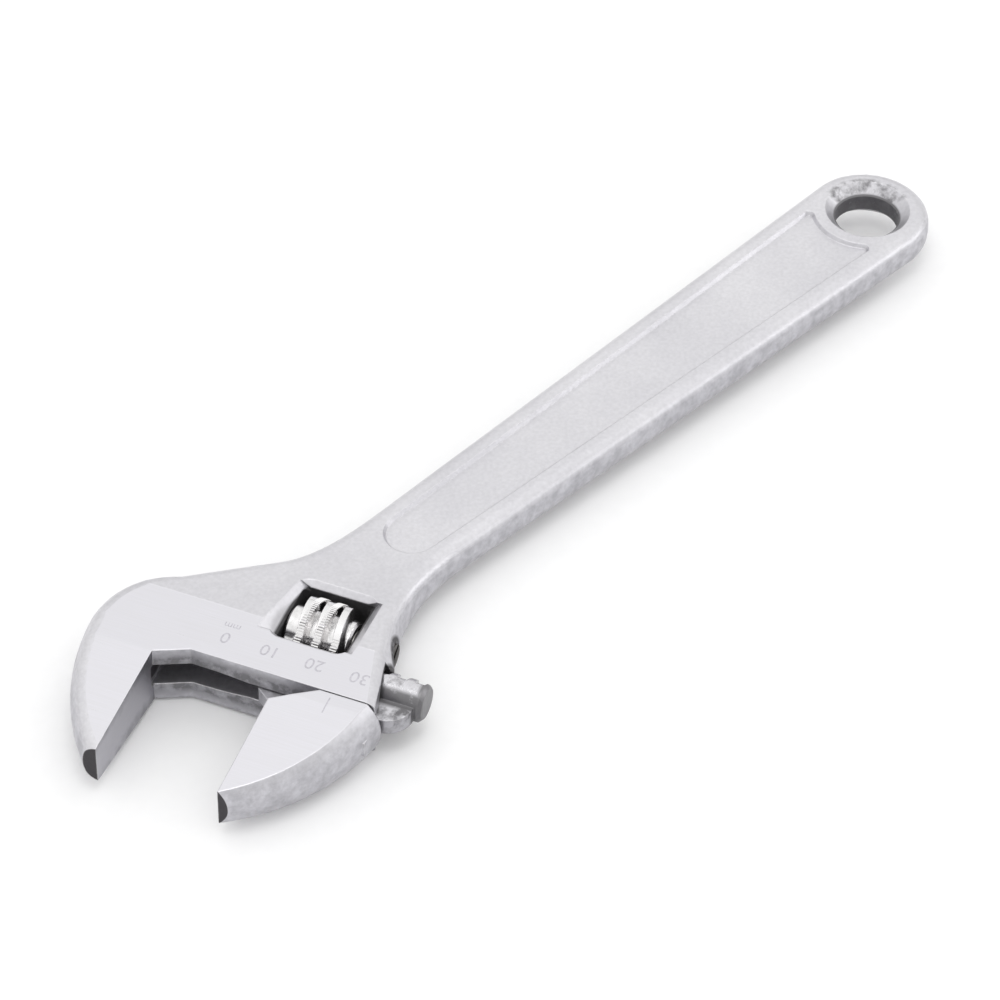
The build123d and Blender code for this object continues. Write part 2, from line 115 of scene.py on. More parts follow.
plate = {
    "forged": "#DFDEE1",        # satin nickel-chrome plate over a blasted forging
    "forgedDark": "#D3D2D6",
    "flankToneAndShade": "#CBCACF",         # the same on the crowned sides, darker: a duller plate and painted shade
    "flankToneAndShadeDark": "#AFAEB3",
    "ground": "#DFDEE3",        # plate over faces ground flat
    "groundDark": "#DCDBDF",
    "jawFace": "#B5B4BA",       # gripping faces, ground and left a little duller
    "jawFaceDark": "#8F8E94",
    # rubbed edges: real wear, brightened further as a painted highlight along the rims
    "wearAndHighlight": "#FAFAFA",
    # dark colour for dirt and for painted shade in hollows, the window, the bore and under the rod
    "grimeAndShade": "#2B2928",
    "tipSteel": "#454346",      # sawn jaw ends, darkened
    "forgedRoughness": (0.36, 0.46),
    "groundRoughness": (0.26, 0.32),
    "grainSize": 0.9,           # mm, blasted grain, drawn a little coarser than it is so that it shows
    "dentSize": 4.0,            # mm, unevenness left by the hammer scale
    "cloudSize": 26.0,          # mm, slow changes in the plate
    "grindSpacing": 0.25,       # mm, lines left by the grinding belt
    "grindLength": 14.0,        # mm
    "grindFlat": 400.0,         # from face to face, so that the two sides' lines differ
    "smearSize": 2.8,           # mm, blotches of oil and dust rubbed into corners, mixed there with painted shade
    "edgeRadius": 0.4,          # mm, tumbled edges
    "hollowSize": 2.2,          # mm, corners narrower than this gather dust and painted shade
    "dirtAndShadeMost": 0.92,           # the thickest dirt and painted shade still lets some steel through
    "wearAndHighlightMost": 0.35,
    "rodBack": -9.4,            # mm of reach, behind which the jaw is its smooth rod
    "rodRoughness": 0.16,
    "gripHeight": 6.4,          # mm from the mid-plane to the edge of a gripping face
    "grainDepth": 0.035,        # mm
    "dentDepth": 0.1,
    "lineDepth": 0.0006,
    "tipReach": 26.5,           # mm, beyond which a face that looks forward is a jaw's end
    "groundAbove": 4.5,         # mm from the mid-plane, the lowest ground face
}


def platedSteel(tree, groundBack=-60.0, isJaw=False):
    # Drop-forged tool steel, blasted, partly ground flat, then plated in satin nickel-chrome:
    # pale and softly grainy where it was forged, smoother with faint straight lines where it was ground
    look = plate
    coords = addNode(tree, "ShaderNodeTexCoord")
    geometry = addNode(tree, "ShaderNodeNewGeometry")
    place = coords.outputs["Object"]
    offset = addNode(tree, "ShaderNodeVectorMath", {0: place, 1: tuple(jawRoot)}, operation="SUBTRACT")
    reach = addNode(tree, "ShaderNodeVectorMath", {0: offset, 1: tuple(reachAxis)}, operation="DOT_PRODUCT")
    slide = addNode(tree, "ShaderNodeVectorMath", {0: offset, 1: tuple(slideAxis)}, operation="DOT_PRODUCT")
    height = addNode(tree, "ShaderNodeSeparateXYZ", {0: place}).outputs["Z"]
    thick = addNode(tree, "ShaderNodeMath", {0: height}, operation="ABSOLUTE")
    headPlace = addNode(tree, "ShaderNodeCombineXYZ", {"X": reach, "Y": slide, "Z": height})
    normal = geometry.outputs["True Normal"]
    normalHeight = addNode(tree, "ShaderNodeSeparateXYZ", {0: normal}).outputs["Z"]
    normalUp = addNode(tree, "ShaderNodeMath", {0: normalHeight}, operation="ABSOLUTE")
    facesReach = addNode(tree, "ShaderNodeVectorMath", {
        0: normal, 1: tuple(reachAxis)}, operation="DOT_PRODUCT")
    facesSlide = addNode(tree, "ShaderNodeVectorMath", {
        0: normal, 1: tuple(slideAxis)}, operation="DOT_PRODUCT")

    # where the steel was ground: level or nearly, high enough, and forward of the band's back edge
    level = addNode(tree, "ShaderNodeMapRange", {"Value": normalUp, "From Min": 0.985, "From Max": 0.992})
    high = addNode(tree, "ShaderNodeMapRange", {
        "Value": thick, "From Min": (look["groundAbove"] - 0.2) * mm, "From Max": look["groundAbove"] * mm})
    forward = addNode(tree, "ShaderNodeMapRange", {
        "Value": reach, "From Min": (groundBack - 0.1) * mm, "From Max": groundBack * mm})
    ground = addNode(tree, "ShaderNodeMath", {0: level, 1: high}, operation="MULTIPLY")
    ground = addNode(tree, "ShaderNodeMath", {0: ground, 1: forward}, operation="MULTIPLY")

    # patterns
    grain = addNode(tree, "ShaderNodeTexNoise", {
        "Vector": place, "Scale": 1 / (look["grainSize"] * mm), "Detail": 3.0})
    dents = addNode(tree, "ShaderNodeTexNoise", {
        "Vector": place, "Scale": 1 / (look["dentSize"] * mm), "Detail": 4.0})
    cloud = addNode(tree, "ShaderNodeTexNoise", {
        "Vector": place, "Scale": 1 / (look["cloudSize"] * mm), "Detail": 5.0, "Roughness": 0.6})
    smear = addNode(tree, "ShaderNodeTexNoise", {
        "Vector": place, "Scale": 1 / (look["smearSize"] * mm), "Detail": 5.0, "Roughness": 0.65})
    stretched = addNode(tree, "ShaderNodeMapping", {
        "Vector": headPlace,
        "Scale": (1 / (look["grindSpacing"] * mm), 1 / (look["grindLength"] * mm), look["grindFlat"])})
    grindLines = addNode(tree, "ShaderNodeTexNoise", {"Vector": stretched, "Scale": 1.0, "Detail": 2.0})

    # rounded edges and hollows
    bevel = addNode(tree, "ShaderNodeBevel", {"Radius": look["edgeRadius"] * mm}, samples=6)
    bentAway = addNode(tree, "ShaderNodeVectorMath", {
        0: bevel, 1: geometry.outputs["Normal"]}, operation="DOT_PRODUCT")
    edge = addNode(tree, "ShaderNodeMapRange", {"Value": bentAway, "From Min": 0.995, "From Max": 0.9})
    cavity = addNode(tree, "ShaderNodeAmbientOcclusion", {
        "Distance": look["hollowSize"] * mm}, samples=6, only_local=True)
    hollow = addNode(tree, "ShaderNodeMapRange", {
        "Value": cavity.outputs["AO"], "From Min": 0.75, "From Max": 0.25})
    notHollow = addNode(tree, "ShaderNodeMath", {0: 1.0, 1: hollow}, operation="SUBTRACT")
    openEdge = addNode(tree, "ShaderNodeMath", {0: edge, 1: notHollow}, operation="MULTIPLY")

    # colour of the forged faces, going to the duller sides, which also carry painted shade
    cloudy = addNode(tree, "ShaderNodeMapRange", {"Value": cloud, "From Min": 0.3, "From Max": 0.7})
    forged = addNode(tree, "ShaderNodeMix", {
        0: cloudy, 6: srgb(look["forgedDark"]), 7: srgb(look["forged"])}, data_type="RGBA")
    sideMottle = addNode(tree, "ShaderNodeMapRange", {"Value": smear, "From Min": 0.35, "From Max": 0.65})
    flankToneAndShade = addNode(tree, "ShaderNodeMix", {
        0: sideMottle, 6: srgb(look["flankToneAndShadeDark"]), 7: srgb(look["flankToneAndShade"])}, data_type="RGBA")
    # the steep sides take the darker colour, partly painted shade
    steep = addNode(tree, "ShaderNodeMapRange", {"Value": normalUp, "From Min": 0.8, "From Max": 0.25})
    colour = addNode(tree, "ShaderNodeMix", {0: steep, 6: forged, 7: flankToneAndShade}, data_type="RGBA")
    speck = addNode(tree, "ShaderNodeMapRange", {
        "Value": grain, "From Min": 0.3, "From Max": 0.7, "To Min": 0.93, "To Max": 1.03})
    colour = addNode(tree, "ShaderNodeVectorMath", {0: colour, 1: speck}, operation="MULTIPLY")

    # ground faces, gripping faces and jaw ends
    lined = addNode(tree, "ShaderNodeMapRange", {"Value": grindLines, "From Min": 0.3, "From Max": 0.7})
    groundColour = addNode(tree, "ShaderNodeMix", {
        0: lined, 6: srgb(look["groundDark"]), 7: srgb(look["ground"])}, data_type="RGBA")
    colour = addNode(tree, "ShaderNodeMix", {0: ground, 6: colour, 7: groundColour}, data_type="RGBA")
    gripSide = addNode(tree, "ShaderNodeMath", {
        0: facesSlide, 1: -1.0 if isJaw else 1.0}, operation="MULTIPLY")
    gripFlat = addNode(tree, "ShaderNodeMapRange", {"Value": gripSide, "From Min": 0.97, "From Max": 0.99})
    gripPlace = addNode(tree, "ShaderNodeMapRange", {
        "Value": reach, "From Min": -0.4 * mm, "From Max": 0.2 * mm})
    grip = addNode(tree, "ShaderNodeMath", {0: gripFlat, 1: gripPlace}, operation="MULTIPLY")
    gripDepth = addNode(tree, "ShaderNodeMath", {
        0: thick, 1: 1 / (look["gripHeight"] * mm)}, operation="MULTIPLY")
    gripTone = addNode(tree, "ShaderNodeMath", {0: gripDepth, 1: smear}, operation="MULTIPLY")
    gripTone = addNode(tree, "ShaderNodeMapRange", {"Value": gripTone, "From Min": 0.25, "From Max": 0.6})
    gripColour = addNode(tree, "ShaderNodeMix", {
        0: gripTone, 6: srgb(look["jawFace"]), 7: srgb(look["jawFaceDark"])}, data_type="RGBA")
    colour = addNode(tree, "ShaderNodeMix", {0: grip, 6: colour, 7: gripColour}, data_type="RGBA")
    tipFlat = addNode(tree, "ShaderNodeMapRange", {"Value": facesReach, "From Min": 0.9, "From Max": 0.97})
    tipPlace = addNode(tree, "ShaderNodeMapRange", {
        "Value": reach, "From Min": (look["tipReach"] - 0.2) * mm, "From Max": look["tipReach"] * mm})
    tip = addNode(tree, "ShaderNodeMath", {0: tipFlat, 1: tipPlace}, operation="MULTIPLY")
    colour = addNode(tree, "ShaderNodeMix", {0: tip, 6: colour, 7: srgb(look["tipSteel"])}, data_type="RGBA")

    # oil and dust with painted shade: in hollows everywhere, and thick in the places that each part names
    dirtAndShade = addNode(tree, "ShaderNodeMath", {0: hollow, 1: sideMottle}, operation="MULTIPLY")
    if isJaw:
        patches = jawDirtAndShade(tree, reach, slide, thick)
    else:
        patches = bodyDirtAndShade(tree, place, reach, slide, thick, facesReach)
    for amount, cover, strength in patches:
        start = 0.62 - 0.6 * cover      # the more is covered, the lower the noise may be
        spotty = addNode(tree, "ShaderNodeMapRange", {
            "Value": smear, "From Min": start, "From Max": start + 0.23, "To Max": strength})
        patch = addNode(tree, "ShaderNodeMath", {0: amount, 1: spotty}, operation="MULTIPLY")
        dirtAndShade = addNode(tree, "ShaderNodeMath", {0: dirtAndShade, 1: patch}, operation="MAXIMUM")
    dirtAndShade = addNode(tree, "ShaderNodeMath", {0: dirtAndShade, 1: look["dirtAndShadeMost"]}, operation="MULTIPLY")
    # worn edges with a painted highlight laid on them
    wearAndHighlightSpots = addNode(tree, "ShaderNodeMapRange", {
        "Value": dents, "From Min": 0.35, "From Max": 0.6, "To Max": look["wearAndHighlightMost"]})
    wearAndHighlight = addNode(tree, "ShaderNodeMath", {0: openEdge, 1: wearAndHighlightSpots}, operation="MULTIPLY")
    colour = addNode(tree, "ShaderNodeMix", {0: wearAndHighlight, 6: colour, 7: srgb(look["wearAndHighlight"])}, data_type="RGBA")
    colour = addNode(tree, "ShaderNodeMix", {0: dirtAndShade, 6: colour, 7: srgb(look["grimeAndShade"])}, data_type="RGBA")

    # roughness and relief
    forgedRough = addNode(tree, "ShaderNodeMapRange", {
        "Value": grain, "To Min": look["forgedRoughness"][0], "To Max": look["forgedRoughness"][1]})
    groundRough = addNode(tree, "ShaderNodeMapRange", {
        "Value": grindLines, "To Min": look["groundRoughness"][0], "To Max": look["groundRoughness"][1]})
    rough = addNode(tree, "ShaderNodeMix", {0: ground, 2: forgedRough, 3: groundRough})
    if isJaw:
        onRod = addNode(tree, "ShaderNodeMapRange", {
            "Value": reach, "From Min": look["rodBack"] * mm, "From Max": (look["rodBack"] - 0.5) * mm})
        rough = addNode(tree, "ShaderNodeMix", {0: onRod, 2: rough, 3: look["rodRoughness"]})
    dirtRough = addNode(tree, "ShaderNodeMath", {0: dirtAndShade, 1: 0.3}, operation="MULTIPLY")
    rough = addNode(tree, "ShaderNodeMath", {0: rough, 1: dirtRough}, operation="ADD")
    grainHeight = addNode(tree, "ShaderNodeMath", {
        0: grain, 1: look["grainDepth"] * mm}, operation="MULTIPLY")
    dentHeight = addNode(tree, "ShaderNodeMath", {
        0: dents, 1: look["dentDepth"] * mm}, operation="MULTIPLY")
    forgedHeight = addNode(tree, "ShaderNodeMath", {0: grainHeight, 1: dentHeight}, operation="ADD")
    lineHeight = addNode(tree, "ShaderNodeMath", {
        0: grindLines, 1: look["lineDepth"] * mm}, operation="MULTIPLY")
    surface = addNode(tree, "ShaderNodeMix", {0: ground, 2: forgedHeight, 3: lineHeight})
    bump = addNode(tree, "ShaderNodeBump", {
        "Height": surface, "Strength": 0.7, "Distance": 1.0, "Normal": bevel})
    return addNode(tree, "ShaderNodeBsdfPrincipled", {
        "Base Color": colour, "Metallic": 1.0, "Roughness": rough, "Normal": bump})


def insideBox(tree, limits, soft=0.4):
    # 1 where every value lies between its limits in mm, falling to 0 over a soft border
    inside = None
    for value, low, high in limits:
        above = addNode(tree, "ShaderNodeMapRange", {
            "Value": value, "From Min": (low - soft) * mm, "From Max": low * mm})
        below = addNode(tree, "ShaderNodeMapRange", {
            "Value": value, "From Min": (high + soft) * mm, "From Max": high * mm})
        both = addNode(tree, "ShaderNodeMath", {0: above, 1: below}, operation="MULTIPLY")
        inside = both if inside is None else addNode(
            tree, "ShaderNodeMath", {0: inside, 1: both}, operation="MULTIPLY")
    return inside


def aroundLine(tree, reach, thick, lineReach):
    # distance in the head from a line that runs along the slide direction on the mid-plane
    across = addNode(tree, "ShaderNodeMath", {0: reach, 1: lineReach * mm}, operation="SUBTRACT")
    both = addNode(tree, "ShaderNodeCombineXYZ", {"X": across, "Y": thick})
    return addNode(tree, "ShaderNodeVectorMath", {0: both}, operation="LENGTH")


dirtAndShadePlaces = {                  # mm in the head where dirt and painted shade darken the steel, the window and the hole's bore being painted shade; each ends with how much is covered and how darkly, 0 to 1
    "window": ((-32.0, -14.2), (20.2, 36.5), (0.0, 5.5), 0.9, 0.9),
    "rodExit": ((0.0, 5.2), (43.0, 60.0), 0.75, 0.92),
    "pinExit": ((0.0, 4.2), (39.0, 60.0), 0.6, 0.9),
    "throat": ((-3.8, 1.0), (0.4, 40.0), (0.0, 4.4), 0.5, 0.65),
    "holeBore": ((0.0, 7.7), (0.0, 2.2), 0.75, 0.72),
    "holeFarRim": ((0.0, 10.2), (5.0, 12.0), 0.36, 0.7),
    "rimSide": (-0.73, -0.68, 0.0),     # the hole's rim is darkened on the side that lies this way from its centre
    "rodLine": -13.9,           # reach of the rod's and the pin's centre lines
    "pinLine": -23.2,
    "bandBack": -17.3,          # behind this reach the forged face falls towards the window's back
    "windowBack": -32.0,
    "faceFall": 1.5,
}


def bodyDirtAndShade(tree, place, reach, slide, thick, facesReach):
    spots = dirtAndShadePlaces
    fall = addNode(tree, "ShaderNodeMapRange", {
        "Value": reach, "From Min": spots["bandBack"] * mm, "From Max": spots["windowBack"] * mm,
        "To Max": spots["faceFall"] * mm})
    fromFace = addNode(tree, "ShaderNodeMath", {0: thick, 1: fall}, operation="ADD")
    inWindow = insideBox(tree, [
        (reach, *spots["window"][0]), (slide, *spots["window"][1]), (fromFace, *spots["window"][2])])
    rodRadius = aroundLine(tree, reach, thick, spots["rodLine"])
    atRod = insideBox(tree, [(rodRadius, *spots["rodExit"][0]), (slide, *spots["rodExit"][1])], 0.8)
    pinRadius = aroundLine(tree, reach, thick, spots["pinLine"])
    atPin = insideBox(tree, [(pinRadius, *spots["pinExit"][0]), (slide, *spots["pinExit"][1])], 0.8)
    inThroat = insideBox(tree, [
        (reach, *spots["throat"][0]), (slide, *spots["throat"][1]), (thick, *spots["throat"][2])], 2.2)
    looksOut = addNode(tree, "ShaderNodeMapRange", {"Value": facesReach, "From Min": 0.7, "From Max": 0.85})
    inThroat = addNode(tree, "ShaderNodeMath", {0: inThroat, 1: looksOut}, operation="MULTIPLY")
    flat = addNode(tree, "ShaderNodeVectorMath", {0: place, 1: (1.0, 1.0, 0.0)}, operation="MULTIPLY")
    holeRadius = addNode(tree, "ShaderNodeVectorMath", {0: flat}, operation="LENGTH")
    inBore = insideBox(tree, [(holeRadius, *spots["holeBore"][0]), (thick, *spots["holeBore"][1])])
    farSide = addNode(tree, "ShaderNodeVectorMath", {
        0: flat, 1: spots["rimSide"]}, operation="DOT_PRODUCT")
    onFarRim = insideBox(tree, [
        (holeRadius, *spots["holeFarRim"][0]), (farSide, *spots["holeFarRim"][1])], 1.0)
    places = {"window": inWindow, "rodExit": atRod, "pinExit": atPin, "throat": inThroat,
              "holeBore": inBore, "holeFarRim": onFarRim}
    return [(amount, *spots[name][-2:]) for name, amount in places.items()]


# where dirt and painted shade darken the jaw; the band under the rod is painted shade
jawDirtAndShadePlaces = {
    "rod": ((-30.0, -9.6), (-60.0, 53.0), 0.26, 0.8),
    "rodUnder": ((-11.6, -9.4), (-60.0, 56.0), 0.75, 0.8),
    "rodEnd": ((-30.0, -9.0), (54.2, 60.0), 0.8, 0.72),
    "web": ((-9.9, -3.2), (43.0, 60.0), 0.36, 0.75),
}


def jawDirtAndShade(tree, reach, slide, thick):
    spots = jawDirtAndShadePlaces
    onRod = insideBox(tree, [(reach, *spots["rod"][0]), (slide, *spots["rod"][1])])
    underRod = insideBox(tree, [(reach, *spots["rodUnder"][0]), (slide, *spots["rodUnder"][1])], 1.2)
    onEnd = insideBox(tree, [(reach, *spots["rodEnd"][0]), (slide, *spots["rodEnd"][1])], 0.8)
    onWeb = insideBox(tree, [(reach, *spots["web"][0]), (slide, *spots["web"][1]), (thick, 0.0, 2.4)])
    places = {"rod": onRod, "rodUnder": underRod, "rodEnd": onEnd, "web": onWeb}
    return [(amount, *spots[name][-2:]) for name, amount in places.items()]


def turnedSteel(tree, bright, dark, roughness, inner, outer, spacing):
    # Turned free-cutting steel, darker towards its axis and brighter outside
    place = addNode(tree, "ShaderNodeTexCoord").outputs["Object"]
    axisPoint = headPoint(worm["centreReach"], 0)
    offset = addNode(tree, "ShaderNodeVectorMath", {0: place, 1: tuple(axisPoint)}, operation="SUBTRACT")
    across = addNode(tree, "ShaderNodeVectorMath", {
        0: offset, 1: tuple(slideAxis)}, operation="CROSS_PRODUCT")
    radius = addNode(tree, "ShaderNodeVectorMath", {0: across}, operation="LENGTH")
    smear = addNode(tree, "ShaderNodeTexNoise", {"Vector": place, "Scale": 1 / (1.6 * mm), "Detail": 4.0})
    spread = addNode(tree, "ShaderNodeMapRange", {
        "Value": smear, "To Min": -0.9 * mm, "To Max": 0.9 * mm})
    blurred = addNode(tree, "ShaderNodeMath", {0: radius, 1: spread}, operation="ADD")
    farFromAxis = addNode(tree, "ShaderNodeMapRange", {
        "Value": blurred, "From Min": inner * mm, "From Max": outer * mm})
    colour = addNode(tree, "ShaderNodeMix", {0: farFromAxis, 6: srgb(dark), 7: srgb(bright)}, data_type="RGBA")
    rough = addNode(tree, "ShaderNodeMapRange", {
        "Value": farFromAxis, "To Min": roughness + 0.2, "To Max": roughness})
    fine = addNode(tree, "ShaderNodeTexNoise", {"Vector": place, "Scale": 1 / (spacing * mm), "Detail": 2.0})
    fineHeight = addNode(tree, "ShaderNodeMath", {0: fine, 1: 0.02 * mm}, operation="MULTIPLY")
    bump = addNode(tree, "ShaderNodeBump", {"Height": fineHeight, "Strength": 0.6, "Distance": 1.0})
    return addNode(tree, "ShaderNodeBsdfPrincipled", {
        "Base Color": colour, "Metallic": 1.0, "Roughness": rough, "Normal": bump})


def etchedPlate(tree, light, dark):
    # Electro-etched marking: the plate is only dulled, unevenly, so the numbers are faint
    place = addNode(tree, "ShaderNodeTexCoord").outputs["Object"]
    mottle = addNode(tree, "ShaderNodeTexNoise", {"Vector": place, "Scale": 1 / (0.5 * mm), "Detail": 4.0})
    blend = addNode(tree, "ShaderNodeMapRange", {"Value": mottle, "From Min": 0.35, "From Max": 0.65})
    colour = addNode(tree, "ShaderNodeMix", {0: blend, 6: srgb(dark), 7: srgb(light)}, data_type="RGBA")
    rough = addNode(tree, "ShaderNodeMapRange", {"Value": mottle, "To Min": 0.45, "To Max": 0.6})
    return addNode(tree, "ShaderNodeBsdfPrincipled", {
        "Base Color": colour, "Metallic": 1.0, "Roughness": rough})


def laminateBoard(tree, light, dark):
    # Matt white laminate on the table: soft, with a grain that barely shows
    place = addNode(tree, "ShaderNodeTexCoord").outputs["Object"]
    fibre = addNode(tree, "ShaderNodeTexNoise", {"Vector": place, "Scale": 1 / (3 * mm), "Detail": 3.0})
    colour = addNode(tree, "ShaderNodeMix", {0: fibre, 6: srgb(dark), 7: srgb(light)}, data_type="RGBA")
    return addNode(tree, "ShaderNodeBsdfPrincipled", {"Base Color": colour, "Roughness": 0.8})


worm = {
    "centreReach": -23.2,       # mm from the jaw's root
    "left": 21.0,               # slide positions in mm
    "right": 35.4,
    "lineStart": 21.8,          # where the thread's line would face the jaws; it begins a quarter turn on
    "firstTurn": 0.25,
    "pitch": 4.0,
    "turns": 2.75,
    "hubRadius": 5.2,
    "crestRadius": 7.58,
    "crestHalfWidth": 0.75,
    "rootHalfWidth": 1.45,
    "boreRadius": 2.33,
    "pocketRadius": 3.75,
    "pocketDepth": 3.0,
    "fadeTurn": 0.1,            # of a turn, over which each thread end dies out
    "endChamfer": 0.5,
    "samplesAround": 144,
    "samplesAlong": 150,
}

setMaterial(nodes["body"], finishMaterial("satinPlatedForging", platedSteel, groundBack=-17.3))
setMaterial(nodes["moving_jaw"], finishMaterial("satinPlatedJaw", platedSteel, isJaw=True))
wormSteel = finishMaterial(
    "knurledNickelSteel", turnedSteel, bright="#EDECEC", dark="#B9B7B6", roughness=0.18,
    inner=3.9, outer=5.4, spacing=0.4)
setMaterial(nodes["worm_pin"], finishMaterial(
    "oiledPinSteel", turnedSteel, bright="#4E4B48", dark="#232120", roughness=0.35,
    inner=0.5, outer=3.4, spacing=0.3))
setMaterial(nodes["worm_spring"], finishMaterial(
    "springWire", turnedSteel, bright="#A9A7A4", dark="#55534F", roughness=0.3,
    inner=2.5, outer=3.6, spacing=0.2))
print("steel finished")


def threadRadius(angle, along, size):
    # radius of the thumb screw's outside at an angle about its axis and a slide position
    turnsHere = (along - size["lineStart"]) / size["pitch"]
    phase = turnsHere - angle / (2 * pi)        # right-handed
    nearest = round(phase)
    lineTurn = nearest + angle / (2 * pi) - size["firstTurn"]
    distance = abs(phase - nearest) * size["pitch"]
    start = min(1.0, max(0.0, lineTurn / size["fadeTurn"]))
    end = min(1.0, max(0.0, (size["turns"] - lineTurn) / size["fadeTurn"]))
    height = (size["crestRadius"] - size["hubRadius"]) * min(start, end)
    rise = (size["rootHalfWidth"] - distance) / (size["rootHalfWidth"] - size["crestHalfWidth"])
    toEnd = min(along - size["left"], size["right"] - along)
    return size["hubRadius"] + height * min(1.0, max(0.0, rise)) - max(0.0, size["endChamfer"] - toEnd)


def makeWorm(size):
    mesh = bmesh.new()
    around = size["samplesAround"]
    rings = []
    for step in range(size["samplesAlong"] + 1):
        along = size["left"] + (size["right"] - size["left"]) * step / size["samplesAlong"]
        rings.append([
            (threadRadius(2 * pi * index / around, along, size), along) for index in range(around)])
    for radius, along in (
        (size["pocketRadius"], size["right"]),
        (size["pocketRadius"], size["right"] - size["pocketDepth"]),
        (size["boreRadius"], size["right"] - size["pocketDepth"]),
        (size["boreRadius"], size["left"]),
    ):
        rings.append([(radius, along)] * around)
    verts = []
    for ring in rings:
        verts.append([])
        for index, (radius, along) in enumerate(ring):
            angle = 2 * pi * index / around
            verts[-1].append(mesh.verts.new(headPoint(
                size["centreReach"] + radius * cos(angle), along, -radius * sin(angle))))
    for first, second in zip(verts, verts[1:] + verts[:1]):
        for index in range(around):
            after = (index + 1) % around
            mesh.faces.new((first[index], first[after], second[after], second[index]))
    bmesh.ops.recalc_face_normals(mesh, faces=mesh.faces)
    data = bpy.data.meshes.new("thumb_screw")
    mesh.to_mesh(data)
    mesh.free()
    return linkPiece("thumb_screw", data)


thumbScrew = makeWorm(worm)
setMaterial(thumbScrew, wormSteel)
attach(thumbScrew, "worm")
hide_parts("worm")
print("thumb screw made")


knurl = {
    "perTurn": 80,              # ribs in a turn
    "ribLength": 1.5,           # mm, the width of the thread's crest
    "ribRadius": 0.2,           # mm, a rib stands half out of the crest
    "ribSides": 4,
    "rimRadius": 7.6,           # mm, where the middle of each rib lies
    "inset": 0.12,              # of a turn, left plain at both ends of the thread
    "stepsPerTurn": 64,         # of the line that the ribs stand on
}


def makeKnurl(size, screw, material):
    # one rib placed many times along the thread's crest
    tree = bpy.data.node_groups.new("knurlAlongThread", "GeometryNodeTree")
    tree.interface.new_socket("Geometry", in_out="OUTPUT", socket_type="NodeSocketGeometry")
    turns = screw["turns"] - 2 * size["inset"]
    wanted = {
        "Turns": ("NodeSocketFloat", turns),
        "Thread Rise": ("NodeSocketFloat", turns * screw["pitch"] * mm),
        "Rim Radius": ("NodeSocketFloat", size["rimRadius"] * mm),
        "Rib Count": ("NodeSocketInt", round(turns * size["perTurn"])),
        "Rib Sides": ("NodeSocketInt", size["ribSides"]),
        "Rib Radius": ("NodeSocketFloat", size["ribRadius"] * mm),
        "Rib Length": ("NodeSocketFloat", size["ribLength"] * mm),
        "Steps Per Turn": ("NodeSocketInt", size["stepsPerTurn"]),
        "Steel": ("NodeSocketMaterial", material),
    }
    sockets = {name: tree.interface.new_socket(name, in_out="INPUT", socket_type=kind)
               for name, (kind, _) in wanted.items()}
    given = addNode(tree, "NodeGroupInput").outputs
    line = addNode(tree, "GeometryNodeCurveSpiral", {
        "Resolution": given["Steps Per Turn"], "Rotations": given["Turns"], "Height": given["Thread Rise"],
        "Start Radius": given["Rim Radius"], "End Radius": given["Rim Radius"]})
    points = addNode(tree, "GeometryNodeCurveToPoints", {
        "Curve": line, "Count": given["Rib Count"]}, mode="COUNT")
    rib = addNode(tree, "GeometryNodeMeshCylinder", {
        "Vertices": given["Rib Sides"], "Radius": given["Rib Radius"], "Depth": given["Rib Length"]})
    outward = addNode(tree, "ShaderNodeVectorMath", {
        0: addNode(tree, "GeometryNodeInputPosition"), 1: (1.0, 1.0, 0.0)}, operation="MULTIPLY")
    turn = addNode(tree, "FunctionNodeAlignRotationToVector", {"Vector": outward}, axis="X", pivot_axis="Z")
    ribs = addNode(tree, "GeometryNodeInstanceOnPoints", {
        "Points": points.outputs["Points"], "Instance": rib.outputs["Mesh"], "Rotation": turn})
    real = addNode(tree, "GeometryNodeRealizeInstances", {0: ribs})
    coated = addNode(tree, "GeometryNodeSetMaterial", {"Geometry": real, "Material": given["Steel"]})
    addNode(tree, "NodeGroupOutput", {0: coated})

    piece = linkPiece("thumb_screw_knurl", bpy.data.meshes.new("knurlBase"))
    modifier = piece.modifiers.new("knurl", "NODES")
    modifier.node_group = tree
    for name, (_, value) in wanted.items():
        modifier[sockets[name].identifier] = value
    bpy.context.view_layer.update()
    graph = bpy.context.evaluated_depsgraph_get()
    data = bpy.data.meshes.new_from_object(piece.evaluated_get(graph), depsgraph=graph)
    piece.modifiers.remove(modifier)
    piece.data = data

    # from the spiral's own axes to the thread's place on the worm
    first = screw["firstTurn"] + size["inset"]
    angle = 2 * pi * first
    across = reachAxis * cos(angle) - up * sin(angle)
    onward = -reachAxis * sin(angle) - up * cos(angle)
    turned = Matrix((across, onward, slideAxis)).transposed().to_4x4()
    place = headPoint(screw["centreReach"], screw["lineStart"] + screw["pitch"] * first)
    data.transform(Matrix.Translation(place) @ turned)
    return piece


wormKnurl = makeKnurl(knurl, worm, wormSteel)
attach(wormKnurl, "worm")
print("knurl made:", len(wormKnurl.data.polygons), "faces")


scale = {
    "rowReach": -9.2,           # mm, middle of the numerals
    "zeroSlide": 12.45,         # mm, where the numeral 0 stands
    "step": 10,                 # mm between numerals
    "numerals": ("0", "10", "20", "30"),
    "height": 3.0,
    "unitHeight": 1.7,
    "unitReach": -12.6,
    "topFace": 7.2,
    "proud": 0.015,
    "sunk": 0.05,
    "tickSlide": 39.0,
    "tickReach": (-1.9, 2.3),
    "tickWidth": 0.3,
    "tipFall": 0.0875,          # how fast the jaw's face falls towards its tip
}


